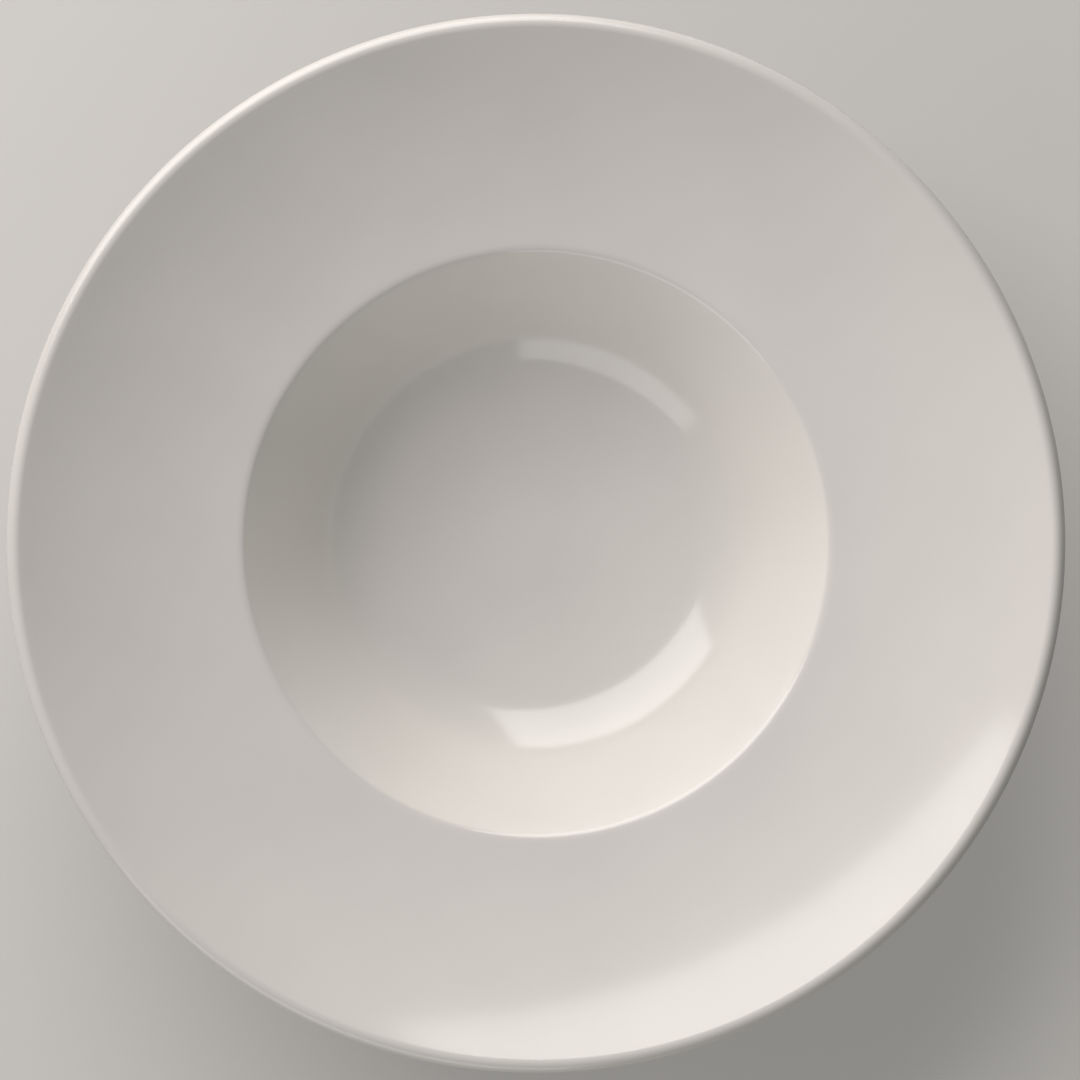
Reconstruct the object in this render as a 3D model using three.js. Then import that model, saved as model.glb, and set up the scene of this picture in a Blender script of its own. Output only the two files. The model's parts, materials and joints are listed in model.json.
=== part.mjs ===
// A wide-rim pasta plate in glazed porcelain, in millimetres, +Z up.
// The origin is the centre of the circle that the foot ring stands on.
//
// The plate is one fired body, turned about Z, under a thin coat of glass. The bare
// foot ring parts the glaze in two: the main coat runs from the middle of the well over
// the rim and the lip and down the back, and a disc of glaze fills the recess in the foot.
import * as THREE from "three";

// Driving dimensions of the finished plate, glaze included. Tilts are in degrees above level.
const PLATE_DIAMETER = 280;
const MOUTH_DIAMETER = 157.2; // top of the straight wall of the well
const FLOOR_DIAMETER = 20; // flat middle of the floor of the well
const DISH_DIAMETER = 87; // the floor is gently dished out to here
const DISH_RADIUS = 140;
const FLOOR_FILLET = 32;
const FILLET_SHARE = 0.95; // most of the room between two edges that a fillet may take
const WALL_TILT = 48.8;
const MOUTH_EDGE_RADIUS = 2.3; // the edge of the mouth turns over on this radius
const MOUTH_EASE_TILT = 20; // and from this tilt on it eases into the rim on a wider one
const MOUTH_EASE_RADIUS = 8;
const RIM_TILT_INNER = 8.9; // the rim is one arc that steepens from the mouth to the lip
const RIM_TILT_OUTER = 28.8;

const RIM_THICKNESS = 5.4; // the lip is a full round of this thickness
const WALL_THICKNESS = 6;
const FLOOR_THICKNESS = 5; // in the middle; the dish thickens it towards the foot
const BACK_FILLET = 9; // under the mouth, between the back of the wall and the rim

const FOOT_HEIGHT = 6; // from the table to where the ring's outside runs into the back of the wall
const FOOT_WIDTH = 6.5;
const FOOT_RECESS = 3; // from the table to the glazed ceiling inside the ring
const FOOT_DRAFT = 8; // lean of both flanks, which lets the plate leave its mould
const FOOT_EDGE_RADIUS = 1.4; // the rounded edges that are wiped bare of glaze
const FOOT_FILLET = 2.2; // where the flanks run into the back and the ceiling

const GLAZE = 0.3;
const BOND = 0.002; // hair's breadth under the glaze, so that its facets never cross the body's

// Facets: sides of the turned solids, how far a chord may stray from its arc, and the most it may turn
const SIDES = 64;
const CHORD_ERROR = 0.15;
const CHORD_TURN = 24;

const rad = THREE.MathUtils.degToRad;
const point = (x, z) => new THREE.Vector2(x, z);
const heading = (angle) => point(Math.cos(angle), Math.sin(angle));
const leftOf = (direction) => point(-direction.y, direction.x);

// An outline is a list of stations, each a place on the finished surface with the normal
// that points out of the plate there. It is walked with the open air on its left.
const station = (place, normal) => ({ place, normal });

// Stations round an arc about a centre, from one heading of the walk to another.
// A left turn is a hollow, with its centre in the air; a right turn is a rounded edge.
function arc(centre, radius, from, to) {
  const chordTurn = Math.min(2 * Math.acos(1 - CHORD_ERROR / radius), rad(CHORD_TURN));
  const steps = Math.ceil(Math.abs(to - from) / chordTurn);
  const side = Math.sign(to - from);
  return Array.from({ length: steps + 1 }, (_, i) => {
    const normal = leftOf(heading(from + ((to - from) * i) / steps));
    return station(centre.clone().addScaledVector(normal, -side * radius), normal);
  });
}

// The arc of a given radius that rounds the corner between two straight runs.
function roundedCorner(corner, from, to, radius) {
  const side = Math.sign(to - from);
  const reach = radius * Math.tan(Math.abs(to - from) / 2);
  const start = corner.clone().addScaledVector(heading(from), -reach);
  return arc(start.addScaledVector(leftOf(heading(from)), side * radius), radius, from, to);
}

// Where a line from one place meets a line from another.
function crossing(placeA, directionA, placeB, directionB) {
  const across = placeB.clone().sub(placeA);
  return placeA.clone().addScaledVector(directionA, across.cross(directionB) / directionA.cross(directionB));
}

const last = (list) => list[list.length - 1];

// Eating face: flat middle, dished floor, fillet, straight wall, rounded mouth and the arc of the rim.
const floorZ = FOOT_RECESS + FLOOR_THICKNESS;
const wallTilt = rad(WALL_TILT);
const mouthEase = rad(MOUTH_EASE_TILT);
const rimInner = rad(RIM_TILT_INNER);
const rimOuter = rad(RIM_TILT_OUTER);
const lipRadius = RIM_THICKNESS / 2;

const dishCentre = point(FLOOR_DIAMETER / 2, floorZ + DISH_RADIUS);
const dishTilt = Math.asin((DISH_DIAMETER - FLOOR_DIAMETER) / 2 / DISH_RADIUS);
const dish = arc(dishCentre, DISH_RADIUS, 0, dishTilt);

const filletRoom = (MOUTH_DIAMETER - DISH_DIAMETER) / 2 / (Math.sin(wallTilt) - Math.sin(dishTilt));
const filletRadius = Math.min(FLOOR_FILLET, FILLET_SHARE * filletRoom);
const filletCentre = last(dish).place.clone().addScaledVector(last(dish).normal, filletRadius);
const fillet = arc(filletCentre, filletRadius, dishTilt, wallTilt);
const wallDirection = heading(wallTilt);
const wallNormal = leftOf(wallDirection);
const wallRun = MOUTH_DIAMETER / 2 - last(fillet).place.x;
const wallTop = last(fillet).place.clone().addScaledVector(wallDirection, wallRun / wallDirection.x);
const edgeCentre = wallTop.clone().addScaledVector(wallNormal, -MOUTH_EDGE_RADIUS);
const edge = arc(edgeCentre, MOUTH_EDGE_RADIUS, wallTilt, mouthEase);
const easeCentre = last(edge).place.clone().addScaledVector(last(edge).normal, -MOUTH_EASE_RADIUS);
const easing = arc(easeCentre, MOUTH_EASE_RADIUS, mouthEase, rimInner);

const lipCentreX = PLATE_DIAMETER / 2 - lipRadius;
const rimEndX = lipCentreX - lipRadius * Math.sin(rimOuter);
const rimStart = last(easing).place;
const rimRadius = (rimEndX - rimStart.x) / (Math.sin(rimOuter) - Math.sin(rimInner));
const rimCentre = rimStart.clone().addScaledVector(leftOf(heading(rimInner)), rimRadius);
const rim = arc(rimCentre, rimRadius, rimInner, rimOuter);

// The lip turns the walk back on itself, into the back of the rim. It has a station at its
// outermost point, which sets the plate's diameter.
const lipCentre = last(rim).place.clone().addScaledVector(last(rim).normal, -lipRadius);
const straightDown = -Math.PI / 2;
const lip = [
  ...arc(lipCentre, lipRadius, rimOuter, straightDown),
  ...arc(lipCentre, lipRadius, straightDown, rimOuter - Math.PI).slice(1),
];

// Back: the rim's underside keeps the rim's centre, and a fillet joins it to the wall's back.
// The fillet's centre lies out in the air, its own radius off both: on a line beside the wall,
// and on a circle about the rim's centre.
const backRadius = rimRadius + RIM_THICKNESS;
const besideWall = wallTop.clone().addScaledVector(wallNormal, -(WALL_THICKNESS + BACK_FILLET));
const toRimCentre = rimCentre.clone().sub(besideWall);
const halfChord = Math.sqrt((backRadius + BACK_FILLET) ** 2 - toRimCentre.cross(wallDirection) ** 2);
const backCentre = besideWall.addScaledVector(wallDirection, toRimCentre.dot(wallDirection) - halfChord);
const backTurn = backCentre.clone().sub(rimCentre).angle() - 1.5 * Math.PI;
const backOfRim = arc(rimCentre, backRadius, rimOuter - Math.PI, backTurn - Math.PI);
const backFillet = arc(backCentre, BACK_FILLET, backTurn - Math.PI, wallTilt - Math.PI);

// Foot: two drafted flanks and a standing face, each corner rounded. The bare body stands on
// the table, so the finished outline, one coat thicker, lies a coat's thickness lower.
const draft = rad(FOOT_DRAFT);
const down = straightDown - draft;
const inwards = -Math.PI;
const up = straightDown - Math.PI + draft;
const footZ = -GLAZE;
const shoulder = crossing(last(backFillet).place, wallDirection, point(0, FOOT_HEIGHT), heading(inwards));
const outerToe = crossing(shoulder, heading(down), point(0, footZ), heading(inwards));
const innerToe = outerToe.clone().addScaledVector(heading(inwards), FOOT_WIDTH);
const ceilingCorner = crossing(innerToe, heading(up), point(0, FOOT_RECESS), heading(inwards));

// The inner flank is short: its fillet has the room that the rounded heel leaves.
const innerFlank = innerToe.distanceTo(ceilingCorner);
const ceilingRoom = innerFlank / Math.tan((inwards - up) / 2) - FOOT_EDGE_RADIUS;
const ceilingFillet = Math.min(FOOT_FILLET, FILLET_SHARE * ceilingRoom);

const footShoulder = roundedCorner(shoulder, wallTilt - Math.PI, down, FOOT_FILLET);
const footToe = roundedCorner(outerToe, down, inwards, FOOT_EDGE_RADIUS);
const footHeel = roundedCorner(innerToe, inwards, up, FOOT_EDGE_RADIUS);
const footCeiling = roundedCorner(ceilingCorner, up, inwards, ceilingFillet);

const faceCentre = station(point(0, floorZ), point(0, 1));
const ceilingCentre = station(point(0, FOOT_RECESS), point(0, -1));

// The glaze stops where the foot's rounded edges begin.
const mainCoat = [
  faceCentre,
  ...dish,
  ...fillet.slice(1),
  ...edge,
  ...easing.slice(1),
  ...rim.slice(1),
  ...lip.slice(1),
  ...backOfRim.slice(1),
  ...backFillet.slice(1),
  ...footShoulder,
  footToe[0],
];
const recessCoat = [last(footHeel), ...footCeiling, ceilingCentre];
const wholeOutline = [...mainCoat, ...footToe.slice(1), ...footHeel.slice(0, -1), ...recessCoat];

// The same stations sunk to a depth under the finished surface.
const sunk = (stations, depth) =>
  stations.map(({ place, normal }) => place.clone().addScaledVector(normal, -depth));
const coatDepth = GLAZE - BOND;

// A closed outline turned about Z. LatheGeometry turns about Y, so the solid is stood up.
// Its faces point out when the outline is walked with the air on its right, hence the reversal.
function turned(name, outline, material) {
  const geometry = new THREE.LatheGeometry(outline.toReversed(), SIDES);
  geometry.rotateX(Math.PI / 2);
  const mesh = new THREE.Mesh(geometry, material);
  mesh.name = name;
  return mesh;
}

// Biscuit-fired hard porcelain: it shows only on the wiped standing edge of the foot.
const porcelain = new THREE.MeshStandardMaterial({ color: "#e3ddd3", roughness: 0.75, metalness: 0 });
// Warm white gloss glaze
const glaze = new THREE.MeshStandardMaterial({ color: "#e8e2db", roughness: 0.15, metalness: 0 });

const plate = new THREE.Group();
plate.name = "pasta_plate";
plate.add(turned("porcelain_body", sunk(wholeOutline, GLAZE), porcelain));
plate.add(turned("main_glaze", [...sunk(mainCoat, 0), ...sunk(mainCoat, coatDepth).reverse()], glaze));
plate.add(turned("recess_glaze", [...sunk(recessCoat, coatDepth).reverse(), ...sunk(recessCoat, 0)], glaze));

export default plate;
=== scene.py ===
# %% [markdown]
# # A wide-rim pasta plate in glazed porcelain
#
# A plate like this is one fired body of porcelain under a thin coat of glass. It was shaped by
# turning, so every cut through its middle shows the same outline. This lesson follows the potter:
# it draws half of that outline, spins it about the upright axis, and parts the result into the
# body and its two coats of glaze.
#
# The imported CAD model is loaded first. It is the fixed frame: the pieces made here follow its
# outline with finer facets, and each of them stands for one of its nodes.

# %% Load the frame
import json
import math

import bpy
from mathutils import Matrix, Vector
from mathutils.geometry import intersect_line_sphere_2d


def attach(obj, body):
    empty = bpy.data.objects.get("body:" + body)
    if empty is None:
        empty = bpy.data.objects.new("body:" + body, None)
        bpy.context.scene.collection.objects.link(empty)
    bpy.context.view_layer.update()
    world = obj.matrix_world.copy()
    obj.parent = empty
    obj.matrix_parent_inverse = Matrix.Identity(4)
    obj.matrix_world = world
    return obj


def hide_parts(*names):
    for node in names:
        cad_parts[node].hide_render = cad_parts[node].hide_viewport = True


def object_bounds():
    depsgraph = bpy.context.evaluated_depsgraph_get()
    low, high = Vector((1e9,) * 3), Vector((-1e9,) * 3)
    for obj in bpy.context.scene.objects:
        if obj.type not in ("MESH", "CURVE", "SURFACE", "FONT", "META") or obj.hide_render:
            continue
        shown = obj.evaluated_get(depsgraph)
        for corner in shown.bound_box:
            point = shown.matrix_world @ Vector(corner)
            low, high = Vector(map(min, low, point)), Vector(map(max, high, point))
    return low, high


MM = 0.001  # Blender counts in metres

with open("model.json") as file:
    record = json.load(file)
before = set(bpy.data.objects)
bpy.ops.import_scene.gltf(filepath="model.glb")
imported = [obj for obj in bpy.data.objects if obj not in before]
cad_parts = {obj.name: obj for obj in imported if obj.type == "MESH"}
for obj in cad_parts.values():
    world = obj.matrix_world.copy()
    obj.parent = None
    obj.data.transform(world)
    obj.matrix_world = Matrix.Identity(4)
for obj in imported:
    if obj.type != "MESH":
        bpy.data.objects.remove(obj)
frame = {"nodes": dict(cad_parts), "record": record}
cad_low, cad_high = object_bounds()
print("CAD nodes:", ", ".join(sorted(frame["nodes"])))
print("CAD box in mm:", [round(side / MM, 2) for side in cad_high - cad_low])

# %% [markdown]
# ## A pen for the outline
#
# By hand, a turned outline starts as a single vertex. Extruding it draws a straight run, and
# spinning it about a point draws a round corner that flows out of the last run. The outline could
# also be a list of points, but then no one could change the radius of a single corner.
#
# The pen below makes the same two moves. It walks in the XZ plane with the open air on its left,
# and a heading of zero points away from the axis. So a left turn leaves a hollow, and a right
# turn leaves a rounded edge.

# %% A pen that runs and turns
CHORD_ERROR = 0.004 * MM  # how far a chord may stray from its arc
MOST_TURN = math.radians(6)  # how far an arc may turn from one vertex to the next


def direction(heading):
    """The direction of a heading: how far it goes outwards and upwards."""
    return Vector((math.cos(heading), math.sin(heading)))


class Pen:
    """Draws an outline by moving one vertex. Places are (radius, height)."""

    def __init__(self, name, start):
        """Merges a small plane into the first vertex and takes it to the start."""
        bpy.ops.object.select_all(action="DESELECT")
        bpy.ops.mesh.primitive_plane_add(size=MM)
        self.drawing = bpy.context.object
        self.drawing.name = name
        bpy.ops.object.mode_set(mode="EDIT")
        bpy.ops.mesh.select_all(action="SELECT")
        bpy.ops.mesh.merge(type="CENTER")
        bpy.ops.transform.translate(value=(start.x, 0, start.y))
        self.place = start
        self.heading = 0.0

    def run(self, length, steps=1):
        """Extrudes a straight run along the heading, in equal steps."""
        step = direction(self.heading) * length / steps
        move = {"value": (step.x, 0, step.y)}
        for _ in range(steps):
            bpy.ops.mesh.extrude_region_move(TRANSFORM_OT_translate=move)
        self.place = self.place + step * steps

    def turn(self, radius, heading):
        """Spins a round corner up to a new heading and returns the corner's centre."""
        angle = heading - self.heading
        to_centre = math.copysign(math.pi / 2, angle)
        centre = self.place + direction(self.heading + to_centre) * radius
        step = min(2 * math.acos(1 - CHORD_ERROR / radius), MOST_TURN)
        bpy.ops.mesh.spin(
            steps=math.ceil(abs(angle) / step),
            angle=angle,
            center=(centre.x, 0, centre.y),
            axis=(0, 1, 0),
        )
        self.place = centre - direction(heading + to_centre) * radius
        self.heading = heading
        return centre

    def round_corner(self, corner, radius, heading):
        """Runs towards a corner and rounds it off."""
        reach = radius * math.tan(abs(heading - self.heading) / 2)
        self.run((corner - self.place).length - reach)
        self.turn(radius, heading)


print(f"The pen keeps its chords within {CHORD_ERROR / MM:.3f} mm of their arcs.")

# %% [markdown]
# ## The eating face
#
# Food lies in a deep well: a gently dished floor, a fillet that a spoon can follow, and a
# straight wall. The dish is why the light shifts so softly across the floor. The edge of the
# mouth turns over in two moves, a tight one and a wider one that eases it into the rim. The rim
# is a single arc that steepens from the mouth to the lip and catches the light in one long
# crescent.
#
# The radius of the plate and the height of the floor come from the frame. The arc of the rim is
# worked out last, because it has to leave the mouth at one tilt and reach the lip at another.

# %% Draw the eating face
PLATE_RADIUS = cad_high.x
FLAT_RADIUS = 10 * MM
FLOOR_RADIUS = 43.5 * MM
DISH_RADIUS = 140 * MM
FLOOR_FILLET = 32 * MM
WALL_TILT = math.radians(48.8)
MOUTH_RADIUS = 78.6 * MM
MOUTH_EDGE = 2.3 * MM
MOUTH_EASE_TILT = math.radians(20)
MOUTH_EASE = 8 * MM
RIM_TILT_INNER = math.radians(8.9)
RIM_TILT_OUTER = math.radians(28.8)
LIP_RADIUS = 2.7 * MM
LONG_RUN_STEPS = 4

mounts = {mount["name"]: mount["pos_m"] for mount in frame["record"]["mounts"]}
floor_height = mounts["well_floor"][2]

pen = Pen("plate_outline", Vector((0, floor_height)))
pen.run(FLAT_RADIUS, LONG_RUN_STEPS)
pen.turn(DISH_RADIUS, math.asin((FLOOR_RADIUS - FLAT_RADIUS) / DISH_RADIUS))
pen.turn(FLOOR_FILLET, WALL_TILT)
pen.run((MOUTH_RADIUS - pen.place.x) / math.cos(WALL_TILT), LONG_RUN_STEPS)
wall_top = pen.place
pen.turn(MOUTH_EDGE, MOUTH_EASE_TILT)
pen.turn(MOUTH_EASE, RIM_TILT_INNER)
mouth_end = pen.place.x

rim_end = PLATE_RADIUS - LIP_RADIUS * (1 + math.sin(RIM_TILT_OUTER))
rim_radius = (rim_end - mouth_end) / (math.sin(RIM_TILT_OUTER) - math.sin(RIM_TILT_INNER))
rim_centre = pen.turn(rim_radius, RIM_TILT_OUTER)
print(f"The rim is an arc of {rim_radius / MM:.1f} mm and ends {pen.place.y / MM:.2f} mm up.")

# %% [markdown]
# ## The lip and the back
#
# The lip is a full round: it turns the outline back under itself. It is drawn in two turns, so
# that a vertex lies on its outermost point and the plate keeps its full width. The back of the
# rim runs parallel to its face, and a fillet carries it into the back of the wall.
#
# The centre of that fillet lies its own radius away from both. That is where a line beside the
# wall crosses a circle about the centre of the rim, and Blender can work out the crossing.

# %% Draw the lip and the back
STRAIGHT_DOWN = math.radians(-90)
WALL_THICKNESS = 6 * MM
BACK_FILLET = 9 * MM

pen.turn(LIP_RADIUS, STRAIGHT_DOWN)
lip_height = pen.place.y
pen.turn(LIP_RADIUS, RIM_TILT_OUTER - math.pi)

back_radius = rim_radius + 2 * LIP_RADIUS
wall_side = direction(WALL_TILT - math.pi / 2)
beside_wall = wall_top + wall_side * (WALL_THICKNESS + BACK_FILLET)
crossings = intersect_line_sphere_2d(
    beside_wall,
    beside_wall + direction(WALL_TILT),
    rim_centre,
    back_radius + BACK_FILLET,
    False,  # the line goes on past the two points that give it
)
fillet_centre = min(crossings, key=lambda crossing: (crossing - wall_top).length)
across = fillet_centre - rim_centre
fillet_tilt = math.atan2(across.x, -across.y)
pen.turn(back_radius, fillet_tilt - math.pi)
pen.turn(BACK_FILLET, WALL_TILT - math.pi)
print(f"The lip is widest {lip_height / MM:.2f} mm up.")
print("The back of the rim meets the back of the wall at", pen.place / MM)

# %% [markdown]
# ## The foot ring
#
# The plate stands on a ring with leaning flanks, which let it leave its mould. Inside the ring
# the underside is a little higher than the table, so that only the ring touches it.
#
# The outline so far is the outside of the glaze. The foot is wiped bare before firing and stands
# on the table with the body itself, so this outline goes below the table by the thickness of a
# coat.

# %% Draw the foot ring
INWARDS = math.radians(-180)
FOOT_DRAFT = math.radians(8)
FOOT_HEIGHT = 6 * MM
FOOT_WIDTH = 6.5 * MM
FOOT_RECESS = 3 * MM
FOOT_FILLET = 2.2 * MM
FOOT_EDGE = 1.4 * MM
GLAZE = 0.3 * MM

to_foot = (pen.place.y - FOOT_HEIGHT) / math.sin(WALL_TILT)
shoulder = pen.place + direction(pen.heading) * to_foot
outer_toe = shoulder - Vector((math.tan(FOOT_DRAFT), 1)) * (FOOT_HEIGHT + GLAZE)
inner_toe = outer_toe - Vector((FOOT_WIDTH, 0))
ceiling_corner = inner_toe + Vector((-math.tan(FOOT_DRAFT), 1)) * (FOOT_RECESS + GLAZE)

pen.round_corner(shoulder, FOOT_FILLET, STRAIGHT_DOWN - FOOT_DRAFT)
pen.round_corner(outer_toe, FOOT_EDGE, INWARDS)
pen.round_corner(inner_toe, FOOT_EDGE, STRAIGHT_DOWN - math.pi + FOOT_DRAFT)
glaze_line = pen.place.y
pen.round_corner(ceiling_corner, FOOT_FILLET, INWARDS)
pen.run(pen.place.x, LONG_RUN_STEPS)
print(f"The glaze ends {glaze_line / MM:.2f} mm up.")
print("The outline ends on the axis at", pen.place / MM)

# %% [markdown]
# ## Turning the outline
#
# One spin of the whole outline about the upright axis makes the plate, as a lathe or a potter's
# wheel would. A Screw modifier could do the same, but the spin leaves a plain mesh to work on.
#
# The two ends of the outline lie on the axis, so they become piles of vertices there. Merging the
# doubles closes both poles, and only then can Blender tell the outside of the shell from the
# inside.

# %% Spin the plate
SPIN_STEPS = 256
SAME_PLACE = 0.001 * MM

bpy.ops.mesh.select_all(action="SELECT")
bpy.ops.mesh.spin(steps=SPIN_STEPS, angle=math.tau, center=(0, 0, 0), axis=(0, 0, 1))
bpy.ops.mesh.select_all(action="SELECT")
bpy.ops.mesh.remove_doubles(threshold=SAME_PLACE)
bpy.ops.mesh.normals_make_consistent(inside=False)
bpy.ops.object.mode_set(mode="OBJECT")
plate = pen.drawing
print("The turned plate has", len(plate.data.polygons), "faces.")
print("In mm it measures", plate.dimensions / MM)

# %% [markdown]
# ## The coats of glaze
#
# Glaze is about a third of a millimetre of glass. It covers everything but the standing edge of
# the foot, which is wiped clean so that the plate doesn't melt on to the kiln shelf. That bare
# edge parts the coat in two: one over the face and the back, one in the recess of the foot.
#
# Each coat could be turned from an outline of its own, but the plate already has its shape. So a
# copy of the plate loses the faces of the bare edge and falls into two loose sheets.

# %% Part the glaze from the body
def work_on(piece):
    """Makes one piece the only selected one, and the active one."""
    bpy.ops.object.select_all(action="DESELECT")
    piece.select_set(True)
    bpy.context.view_layer.objects.active = piece


work_on(plate)
bpy.ops.object.duplicate()
coats = bpy.context.object
bpy.ops.object.mode_set(mode="EDIT")
bpy.ops.mesh.select_mode(type="FACE")
bpy.ops.mesh.select_all(action="DESELECT")
bpy.ops.object.mode_set(mode="OBJECT")
for face in coats.data.polygons:
    face.select = face.center.z < glaze_line
bpy.ops.object.mode_set(mode="EDIT")
bpy.ops.mesh.delete(type="FACE")
bpy.ops.mesh.separate(type="LOOSE")
bpy.ops.object.mode_set(mode="OBJECT")
loose_sheets = sorted(bpy.context.selected_objects, key=lambda sheet: sheet.dimensions.x)
recess_coat, main_coat = loose_sheets
main_coat.name = "glaze_on_face_and_back"
recess_coat.name = "glaze_in_foot_recess"
for coat in (main_coat, recess_coat):
    print(coat.name, "measures in mm", coat.dimensions / MM)

# %% [markdown]
# ### The thickness of the coats
#
# Each sheet is the outside of its coat. Solidify thickens it inwards, and a bevel rounds off the
# end of the coat, as surface tension does. A hair of air stays under both coats, so that they
# never share a surface with the body.

# %% Thicken the coats and round their ends
BOND_GAP = 0.002 * MM
COAT_END_ROUNDING = 0.12 * MM
COAT_END_SEGMENTS = 3
SHARP = math.radians(50)  # bends from here on are edges, the rest is shaded smooth

for coat in (main_coat, recess_coat):
    work_on(coat)
    thicken = coat.modifiers.new("coat_thickness", "SOLIDIFY")
    thicken.thickness = GLAZE - BOND_GAP
    thicken.offset = -1
    thicken.use_even_offset = True
    rounding = coat.modifiers.new("rounded_end", "BEVEL")
    rounding.width = COAT_END_ROUNDING
    rounding.segments = COAT_END_SEGMENTS
    rounding.limit_method = "ANGLE"
    rounding.angle_limit = SHARP
    bpy.ops.object.modifier_apply(modifier=thicken.name)
    bpy.ops.object.modifier_apply(modifier=rounding.name)
    bpy.ops.object.shade_smooth_by_angle(angle=SHARP)
    print(coat.name, "has", len(coat.data.polygons), "faces")

# %% [markdown]
# ## The porcelain body
#
# The body is the same plate without its glaze, so the turned plate only has to shrink by the
# thickness of a coat, evenly, along its normals. Its foot then stands on the table at height
# zero. It hides under the glaze, apart from the standing edge.

# %% Shrink the body under its glaze
work_on(plate)
bpy.ops.object.mode_set(mode="EDIT")
bpy.ops.mesh.select_all(action="SELECT")
bpy.ops.transform.shrink_fatten(value=-GLAZE, use_even_offset=True)
bpy.ops.object.mode_set(mode="OBJECT")
bpy.ops.object.shade_smooth_by_angle(angle=SHARP)
plate.name = "porcelain_under_glaze"
lowest = min(vertex.co.z for vertex in plate.data.vertices)
print(f"The foot stands at {lowest / MM:.3f} mm.")
print("In mm the bare body measures", plate.dimensions / MM)

# %% [markdown]
# ## Helpers for materials
#
# Colours are easiest to pick as hex values on a screen, but Blender's shaders work in linear
# light, so one function turns the first into the second. Another starts a material without any
# nodes. The last one adds a node: its settings are given by name, and its inputs are plain values
# or the outputs that feed them.

# %% Colours and nodes
# A Mix node has sockets for each kind of data. These are its two colours and their mix.
FIRST_COLOUR = 6
SECOND_COLOUR = 7
MIXED_COLOUR = 2


def linear(code):
    """The linear colour of a hex code, by the numbers of the sRGB standard."""
    colour = []
    for start in (0, 2, 4):
        channel = int(code[start : start + 2], 16) / 255
        if channel <= 0.04045:
            colour.append(channel / 12.92)
        else:
            colour.append(((channel + 0.055) / 1.055) ** 2.4)
    return colour + [1.0]


def new_material(name):
    """An empty material and its tree of nodes."""
    material = bpy.data.materials.new(name)
    material.use_nodes = True
    material.node_tree.nodes.clear()
    return material, material.node_tree


def add_node(tree, kind, inputs, **settings):
    """Adds a shader node, with its settings, and links or sets its inputs."""
    node = tree.nodes.new(kind)
    for name, value in settings.items():
        setattr(node, name, value)
    for socket, value in inputs.items():
        if isinstance(value, bpy.types.NodeSocket):
            tree.links.new(value, node.inputs[socket])
        else:
            node.inputs[socket].default_value = value
    return node


print("The grey 808080 is", round(linear("808080")[0], 3), "of white in linear light.")

# %% [markdown]
# ## Glazed porcelain
#
# The gloss of china is a clear feldspar glass melted over a warm white body. The eye sees a soft
# white through it and a sharp, pale reflection on top of it. Here its tone is a shade lighter on
# the steep wall than on the floor and the rim. The rounded edge of the mouth and the lip are
# painted darker, as painted shade: on the mouth it dims the highlight, on the lip the light.
#
# These tones could be painted on the mesh. But on a turned piece the distance from the axis is
# enough to place them all, so a colour ramp over that distance holds them.

# %% Glaze: tone and painted shade from the floor to the lip
GLAZE_ON_FLOOR = "ece7e3"
GLAZE_ON_WALL = "eeeae4"
# painted shade: the mouth is darker where its highlight falls, which dims that highlight
GLAZE_PAINTED_SHADE_ON_MOUTH = "e9e4e0"
GLAZE_ON_RIM = "ebe6e2"
GLAZE_BY_LIP = "eae5e0"
# painted shade: the lip is darker, which dims the light on it
GLAZE_PAINTED_SHADE_ON_LIP = "e1ddd8"
WALL_TONE_START = 0.8  # share of the wall's outer radius at which its tone is reached
EDGE_FADE = 0.6 * MM  # the way from the tone of the wall to that of the mouth

glaze, tree = new_material("feldspar_glaze_on_porcelain_melted_smooth")
coordinates = add_node(tree, "ShaderNodeTexCoord", {})
place = coordinates.outputs["Object"]
sideways = add_node(tree, "ShaderNodeVectorMath", {0: place, 1: (1, 1, 0)}, operation="MULTIPLY")
radius = add_node(tree, "ShaderNodeVectorMath", {0: sideways.outputs[0]}, operation="LENGTH")
share = add_node(
    tree,
    "ShaderNodeMath",
    {0: radius.outputs["Value"], 1: PLATE_RADIUS},
    operation="DIVIDE",
)
tones = add_node(tree, "ShaderNodeValToRGB", {"Fac": share.outputs[0]})
ramp = tones.color_ramp.elements
ramp[0].position = FLOOR_RADIUS / PLATE_RADIUS
ramp[0].color = linear(GLAZE_ON_FLOOR)
ramp[1].position = 1
ramp[1].color = linear(GLAZE_PAINTED_SHADE_ON_LIP)
# the stops for the mouth and the lip paint shade on them
for stop, code in (
    (wall_top.x * WALL_TONE_START, GLAZE_ON_WALL),
    (wall_top.x, GLAZE_ON_WALL),
    (wall_top.x + EDGE_FADE, GLAZE_PAINTED_SHADE_ON_MOUTH),
    (mouth_end, GLAZE_ON_RIM),
    (rim_end, GLAZE_BY_LIP),
):
    ramp.new(stop / PLATE_RADIUS).color = linear(code)
print("The tones lie at these shares of the radius:", [round(stop.position, 3) for stop in ramp])

# %% [markdown]
# ### Clouds in the glaze
#
# A fired coat is never quite even. Clouds a few centimetres wide shade its tone, so faintly that
# they only keep it from looking like paint. An image of clouds would need an unwrapped mesh, while
# noise on Object coordinates fits the piece as it is.

# %% Glaze: clouds
CLOUD_WIDTH = 35 * MM
CLOUD_OCTAVES = 2.0
CLOUD_SHADE = "f5f5f5"  # what the deepest cloud leaves of the tone

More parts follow.
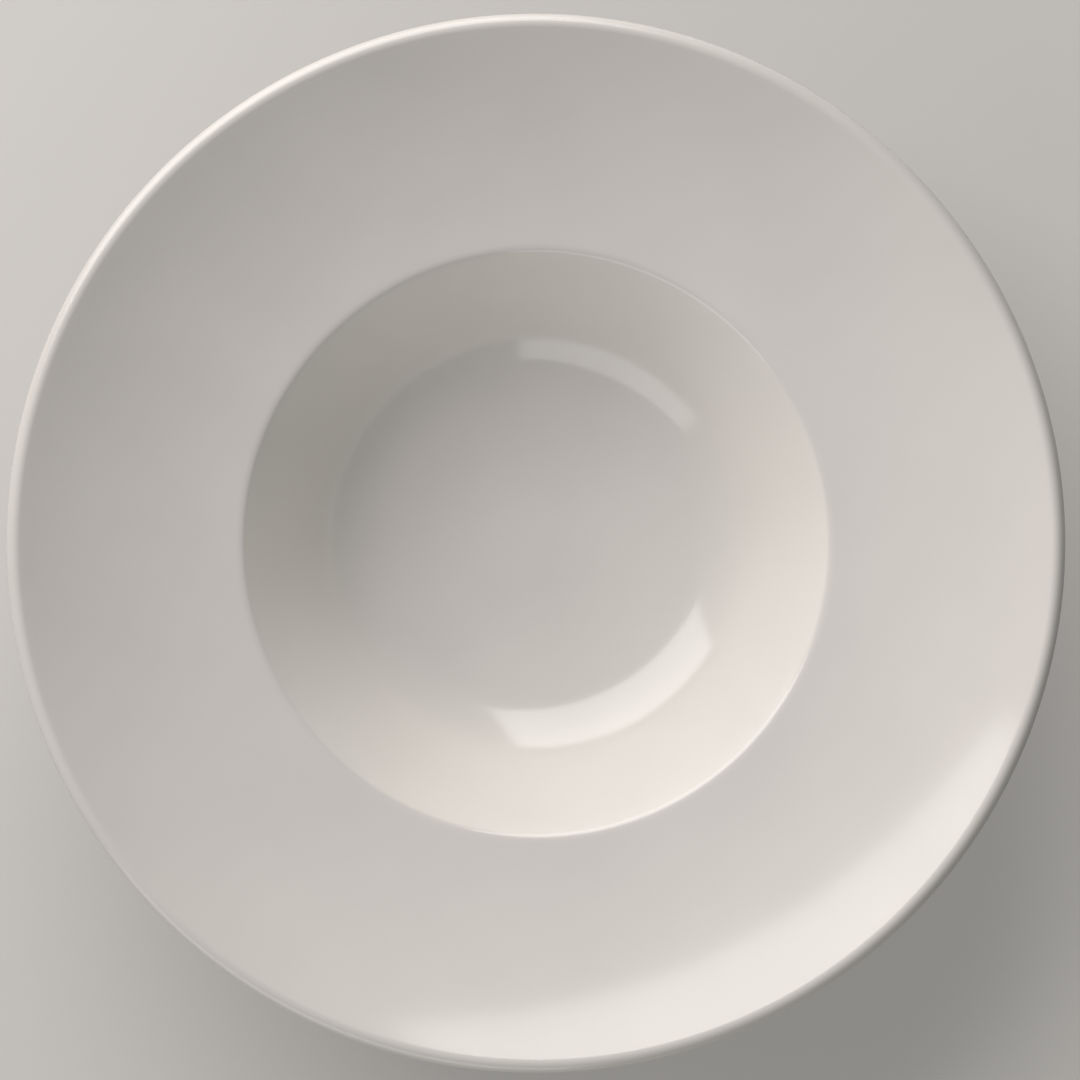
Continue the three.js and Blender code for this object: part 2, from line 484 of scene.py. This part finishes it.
clouds = add_node(
    tree,
    "ShaderNodeTexNoise",
    {"Vector": place, "Scale": 1 / CLOUD_WIDTH, "Detail": CLOUD_OCTAVES},
)
tone = add_node(
    tree,
    "ShaderNodeMix",
    {
        "Factor": clouds.outputs["Fac"],
        FIRST_COLOUR: tones.outputs["Color"],
        SECOND_COLOUR: linear(CLOUD_SHADE),
    },
    data_type="RGBA",
    blend_type="MULTIPLY",
)
print("The deepest cloud leaves", round(linear(CLOUD_SHADE)[0], 3), "of the tone.")

# %% [markdown]
# ### The gloss
#
# Melted glass is smooth but no mirror. The edges of its reflections are a little soft, more so in
# some patches than in others, and most of all on the lip, where the coat is thinnest. Noise and
# the distance from the axis place that as well.

# %% Glaze: gloss
GLAZE_ROUGHNESS = 0.135
ROUGHNESS_SPREAD = 0.012
LIP_ROUGHNESS = 0.12  # how much rougher the coat is on the lip
PATCH_WIDTH = 18 * MM
PATCH_OCTAVES = 3.0

patches = add_node(
    tree,
    "ShaderNodeTexNoise",
    {"Vector": place, "Scale": 1 / PATCH_WIDTH, "Detail": PATCH_OCTAVES},
)
roughness = add_node(
    tree,
    "ShaderNodeMapRange",
    {
        "Value": patches.outputs["Fac"],
        "To Min": GLAZE_ROUGHNESS - ROUGHNESS_SPREAD,
        "To Max": GLAZE_ROUGHNESS + ROUGHNESS_SPREAD,
    },
)
softened = add_node(
    tree,
    "ShaderNodeMapRange",
    {
        "Value": radius.outputs["Value"],
        "From Min": rim_end,
        "From Max": PLATE_RADIUS,
        "To Max": LIP_ROUGHNESS,
    },
)
gloss = add_node(
    tree,
    "ShaderNodeMath",
    {0: roughness.outputs["Result"], 1: softened.outputs["Result"]},
    operation="ADD",
)
print(f"The roughness is {GLAZE_ROUGHNESS}, and {GLAZE_ROUGHNESS + LIP_ROUGHNESS} on the lip.")

# %% [markdown]
# ### The ripple
#
# Glass that has flowed keeps a slow ripple, a few thousandths of a millimetre high. No outline
# shows it, but it bends the edge of a highlight by a hair, so bump is enough for it.

# %% Glaze: ripple and surface
GLAZE_IOR = 1.55
RIPPLE_WIDTH = 7 * MM
RIPPLE_OCTAVES = 1.0
RIPPLE_HEIGHT = 0.004 * MM

waves = add_node(
    tree,
    "ShaderNodeTexNoise",
    {"Vector": place, "Scale": 1 / RIPPLE_WIDTH, "Detail": RIPPLE_OCTAVES},
)
ripple = add_node(
    tree,
    "ShaderNodeBump",
    {"Height": waves.outputs["Fac"], "Distance": RIPPLE_HEIGHT},
)
surface = add_node(
    tree,
    "ShaderNodeBsdfPrincipled",
    {
        "Base Color": tone.outputs[MIXED_COLOUR],
        "Roughness": gloss.outputs[0],
        "IOR": GLAZE_IOR,
        "Normal": ripple.outputs["Normal"],
    },
)
add_node(tree, "ShaderNodeOutputMaterial", {"Surface": surface.outputs["BSDF"]})
print("The glaze has", len(tree.nodes), "nodes.")

# %% [markdown]
# ## Bare porcelain
#
# Where the glaze was wiped off, the fired body shows: matt and chalky, a little greyer where it
# has rubbed on tables and shelves, and toasted along the glaze line, where the kiln's flame met
# the end of the glass. Noise places the rubbed patches, and the height above the table places the
# toasting.

# %% Bare porcelain: rubbed and toasted
BARE_WHITE = "e4ded4"
BARE_RUBBED = "c9c3ba"
BARE_TOASTED = "dcc7ae"
RUB_WIDTH = 6 * MM
RUB_OCTAVES = 6.0
RUB_START = 0.5  # levels of the noise between which the body looks more and more rubbed
RUB_FULL = 0.7
TOAST_START = 0.4  # share of the height of the glaze line

bisque, tree = new_material("bare_porcelain_wiped_and_fired")
coordinates = add_node(tree, "ShaderNodeTexCoord", {})
place = coordinates.outputs["Object"]
parts = add_node(tree, "ShaderNodeSeparateXYZ", {"Vector": place})
scuffs = add_node(
    tree,
    "ShaderNodeTexNoise",
    {"Vector": place, "Scale": 1 / RUB_WIDTH, "Detail": RUB_OCTAVES},
)
rubbed = add_node(
    tree,
    "ShaderNodeMapRange",
    {"Value": scuffs.outputs["Fac"], "From Min": RUB_START, "From Max": RUB_FULL},
)
worn = add_node(
    tree,
    "ShaderNodeMix",
    {
        "Factor": rubbed.outputs["Result"],
        FIRST_COLOUR: linear(BARE_WHITE),
        SECOND_COLOUR: linear(BARE_RUBBED),
    },
    data_type="RGBA",
)
toasting = add_node(
    tree,
    "ShaderNodeMapRange",
    {
        "Value": parts.outputs["Z"],
        "From Min": glaze_line * TOAST_START,
        "From Max": glaze_line,
    },
)
toasted = add_node(
    tree,
    "ShaderNodeMix",
    {
        "Factor": toasting.outputs["Result"],
        FIRST_COLOUR: worn.outputs[MIXED_COLOUR],
        SECOND_COLOUR: linear(BARE_TOASTED),
    },
    data_type="RGBA",
)
print(f"The toasting starts {glaze_line * TOAST_START / MM:.2f} mm up.")

# %% [markdown]
# ### The grit
#
# The bare body feels like fine sandpaper and scatters light without any gloss. Porcelain grit is
# under a tenth of a millimetre, which is too fine to show, so it is drawn four times as coarse.

# %% Bare porcelain: grit and surface
GRIT_WIDTH = 0.4 * MM
GRIT_OCTAVES = 4.0
GRIT_HEIGHT = 0.02 * MM
BARE_ROUGHNESS = 0.75

grit = add_node(
    tree,
    "ShaderNodeTexNoise",
    {"Vector": place, "Scale": 1 / GRIT_WIDTH, "Detail": GRIT_OCTAVES},
)
relief = add_node(
    tree,
    "ShaderNodeBump",
    {"Height": grit.outputs["Fac"], "Distance": GRIT_HEIGHT},
)
surface = add_node(
    tree,
    "ShaderNodeBsdfPrincipled",
    {
        "Base Color": toasted.outputs[MIXED_COLOUR],
        "Roughness": BARE_ROUGHNESS,
        "IOR": GLAZE_IOR,
        "Normal": relief.outputs["Normal"],
    },
)
add_node(tree, "ShaderNodeOutputMaterial", {"Surface": surface.outputs["BSDF"]})
print("The bare porcelain has", len(tree.nodes), "nodes.")

# %% [markdown]
# ## Handing the pieces to the frame
#
# Each piece rides on the only body of the part and stands for the CAD node that it was made after.

# %% Dress the pieces and hand them over
for piece, node, slot, material in (
    (plate, "porcelain_body", "bare_porcelain", bisque),
    (main_coat, "main_glaze", "white_glaze", glaze),
    (recess_coat, "recess_glaze", "white_glaze", glaze),
):
    piece.data.materials.clear()
    piece.data.materials.append(material)
    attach(piece, "root")
    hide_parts(node)
    print(piece.name, "stands for", node)

# %% [markdown]
# ## The floor
#
# A wide, plain, pale sheet carries the plate and takes its shadow. It lies a hair under the foot,
# so that the two never share a surface. It is no part of the plate, so a bare plane will do.

# %% Lay the floor
FLOOR_SIZE = 24.0  # metres
FLOOR_GAP = 0.05 * MM

bpy.ops.object.select_all(action="DESELECT")
bpy.ops.mesh.primitive_plane_add(size=FLOOR_SIZE, location=(0, 0, -FLOOR_GAP))
floor_sheet = bpy.context.object
floor_sheet.name = "studio_floor"
print("The floor is", FLOOR_SIZE, "m wide.")

# %% [markdown]
# ### Paper that the lamps can't burn out
#
# Far from the plate the lamps would burn bright pools into the sheet. So to the camera and in
# reflections it fades there into an even glow of its own colour, as a backdrop lit by itself
# would. The plate gets no light from that glow: to all other rays the sheet is plain grey paper.

# %% Floor: paper and glow
FLOOR_PAPER = "dddad6"
FLOOR_GLOW = "cdcac7"
FLOOR_BOUNCE = "8c8a88"
GLOW_LEVEL = 1.0
GLOW_BY_PLATE = 0.2  # share of the glow round the plate
GLOW_START = 0.25  # metres from the axis
GLOW_FULL = 0.85

paper, tree = new_material("matt_backdrop_paper")
path = add_node(tree, "ShaderNodeLightPath", {})
mirrored = add_node(
    tree,
    "ShaderNodeMath",
    {0: path.outputs["Is Glossy Ray"], 1: path.outputs["Is Transmission Ray"]},
    operation="MAXIMUM",
)
seen = add_node(
    tree,
    "ShaderNodeMath",
    {0: path.outputs["Is Camera Ray"], 1: mirrored.outputs[0]},
    operation="MAXIMUM",
)
coordinates = add_node(tree, "ShaderNodeTexCoord", {})
place = coordinates.outputs["Object"]
away = add_node(tree, "ShaderNodeVectorMath", {0: place}, operation="LENGTH")
fade = add_node(
    tree,
    "ShaderNodeMapRange",
    {
        "Value": away.outputs["Value"],
        "From Min": GLOW_START,
        "From Max": GLOW_FULL,
        "To Min": GLOW_BY_PLATE,
    },
    interpolation_type="SMOOTHSTEP",
)
matt = add_node(tree, "ShaderNodeBsdfDiffuse", {"Color": linear(FLOOR_PAPER)})
glow = add_node(
    tree,
    "ShaderNodeEmission",
    {"Color": linear(FLOOR_GLOW), "Strength": GLOW_LEVEL},
)
backdrop = add_node(
    tree,
    "ShaderNodeMixShader",
    {0: fade.outputs["Result"], 1: matt.outputs["BSDF"], 2: glow.outputs["Emission"]},
)
bounce = add_node(tree, "ShaderNodeBsdfDiffuse", {"Color": linear(FLOOR_BOUNCE)})
top_side = add_node(
    tree,
    "ShaderNodeMixShader",
    {0: seen.outputs[0], 1: bounce.outputs["BSDF"], 2: backdrop.outputs[0]},
)
print("The paper fades into its glow from", GLOW_START, "to", GLOW_FULL, "m.")

# %% [markdown]
# ### A look at the foot
#
# The foot is worth a look as well. So a camera under the sheet sees straight through it, and the
# sheet is open where the foot covers it, which lets the light of the room into the recess. The
# glow lights nothing, so Cycles is told not to look for it.

# %% Floor: open from below
geometry = add_node(tree, "ShaderNodeNewGeometry", {})
from_below = add_node(
    tree,
    "ShaderNodeMath",
    {0: geometry.outputs["Backfacing"], 1: path.outputs["Is Camera Ray"]},
    operation="MULTIPLY",
)
under_foot = add_node(
    tree,
    "ShaderNodeMath",
    {0: away.outputs["Value"], 1: outer_toe.x - FOOT_EDGE},
    operation="LESS_THAN",
)
open_parts = add_node(
    tree,
    "ShaderNodeMath",
    {0: from_below.outputs[0], 1: under_foot.outputs[0]},
    operation="MAXIMUM",
)
clear = add_node(tree, "ShaderNodeBsdfTransparent", {})
both_sides = add_node(
    tree,
    "ShaderNodeMixShader",
    {0: open_parts.outputs[0], 1: top_side.outputs[0], 2: clear.outputs["BSDF"]},
)
add_node(tree, "ShaderNodeOutputMaterial", {"Surface": both_sides.outputs[0]})
paper.cycles.emission_sampling = "NONE"
floor_sheet.data.materials.append(paper)
print(f"The sheet is open for {(outer_toe.x - FOOT_EDGE) / MM:.1f} mm round the axis.")

# %% [markdown]
# ## Light
#
# Two rectangular softboxes light the plate, as the reflections on it tell. The larger one stands
# behind it to the left and draws the crescents at the lower right of the well and the rim. The
# smaller and dimmer one stands in front and draws the arc at the top of the well.
#
# A softbox looks equally bright from anywhere, so its level is given as that brightness, where a
# white sheet in the render is 1. The power of the lamp follows from it and from the area.

# %% Two softboxes
LAMP_COLOUR = "fffcfa"


def softbox(name, azimuth, elevation, distance, dip, width, height, level):
    """A lamp that faces the plate's axis, its front dipping below level. Degrees and metres."""
    around = math.radians(azimuth)
    above = math.radians(elevation)
    down = math.radians(dip)
    outwards = Vector((math.cos(around), math.sin(around), 0))
    lip_top = Vector((0, 0, cad_high.z))
    spot = lip_top + distance * (outwards * math.cos(above) + Vector((0, 0, math.sin(above))))
    front = -outwards * math.cos(down) - Vector((0, 0, math.sin(down)))
    turned = front.to_track_quat("-Z", "Y").to_euler()
    bpy.ops.object.light_add(type="AREA", location=spot, rotation=turned)
    lamp = bpy.context.object
    lamp.name = name
    lamp.visible_camera = False
    lamp.data.shape = "RECTANGLE"
    lamp.data.size = width
    lamp.data.size_y = height
    lamp.data.color = linear(LAMP_COLOUR)[:3]
    lamp.data.energy = level * math.pi * width * height
    print(name, "gives", round(lamp.data.energy, 2), "W")


softbox(
    "key_softbox",
    azimuth=117.1,
    elevation=32.2,
    distance=1.25,
    dip=21.8,
    width=1.535,
    height=1.29,
    level=3.48,
)
softbox(
    "fill_softbox",
    azimuth=246.1,
    elevation=22.3,
    distance=1.32,
    dip=0,
    width=1.337,
    height=0.872,
    level=1.82,
)

# %% [markdown]
# ### The room
#
# A dim, even world stands for the rest of the room. It is a touch cooler than the lamps, as the
# shaded side of the plate is. A picture of a room could light the plate too, but the glaze would
# mirror it.

# %% The room
ROOM_LEVEL = 0.147
ROOM_COLOUR = "f6fbf9"

room = bpy.data.worlds.new("dim_room")
room.use_nodes = True
background = room.node_tree.nodes["Background"]
background.inputs["Color"].default_value = linear(ROOM_COLOUR)
background.inputs["Strength"].default_value = ROOM_LEVEL
bpy.context.scene.world = room
print("The room is", ROOM_LEVEL, "times as bright as a white sheet.")

# %% [markdown]
# ## Camera
#
# The camera looks straight down. In a frame 1080 pixels wide the radius of the plate is 529.4
# pixels, which sets the distance of a 100 mm lens from the widest ring of the lip. The plate sits
# a few pixels off the middle of the frame, and the camera moves sideways by as much.

# %% Set the camera
FRAME_PIXELS = 1080
PLATE_PIXELS = 529.4
OFF_LEFT_PIXELS = 4.2
OFF_DOWN_PIXELS = 3.2
LENS = 100  # millimetres, as the sensor is
SENSOR = 36

pixel = PLATE_RADIUS / PLATE_PIXELS
distance = FRAME_PIXELS * pixel * LENS / SENSOR
bpy.ops.object.camera_add(
    location=(OFF_LEFT_PIXELS * pixel, OFF_DOWN_PIXELS * pixel, lip_height + distance),
    rotation=(0, 0, 0),
)
camera = bpy.context.object
camera.data.lens = LENS
camera.data.sensor_width = SENSOR
bpy.context.scene.camera = camera
bpy.context.scene.view_settings.view_transform = "Standard"
print(f"The camera is {distance:.3f} m above the lip.")
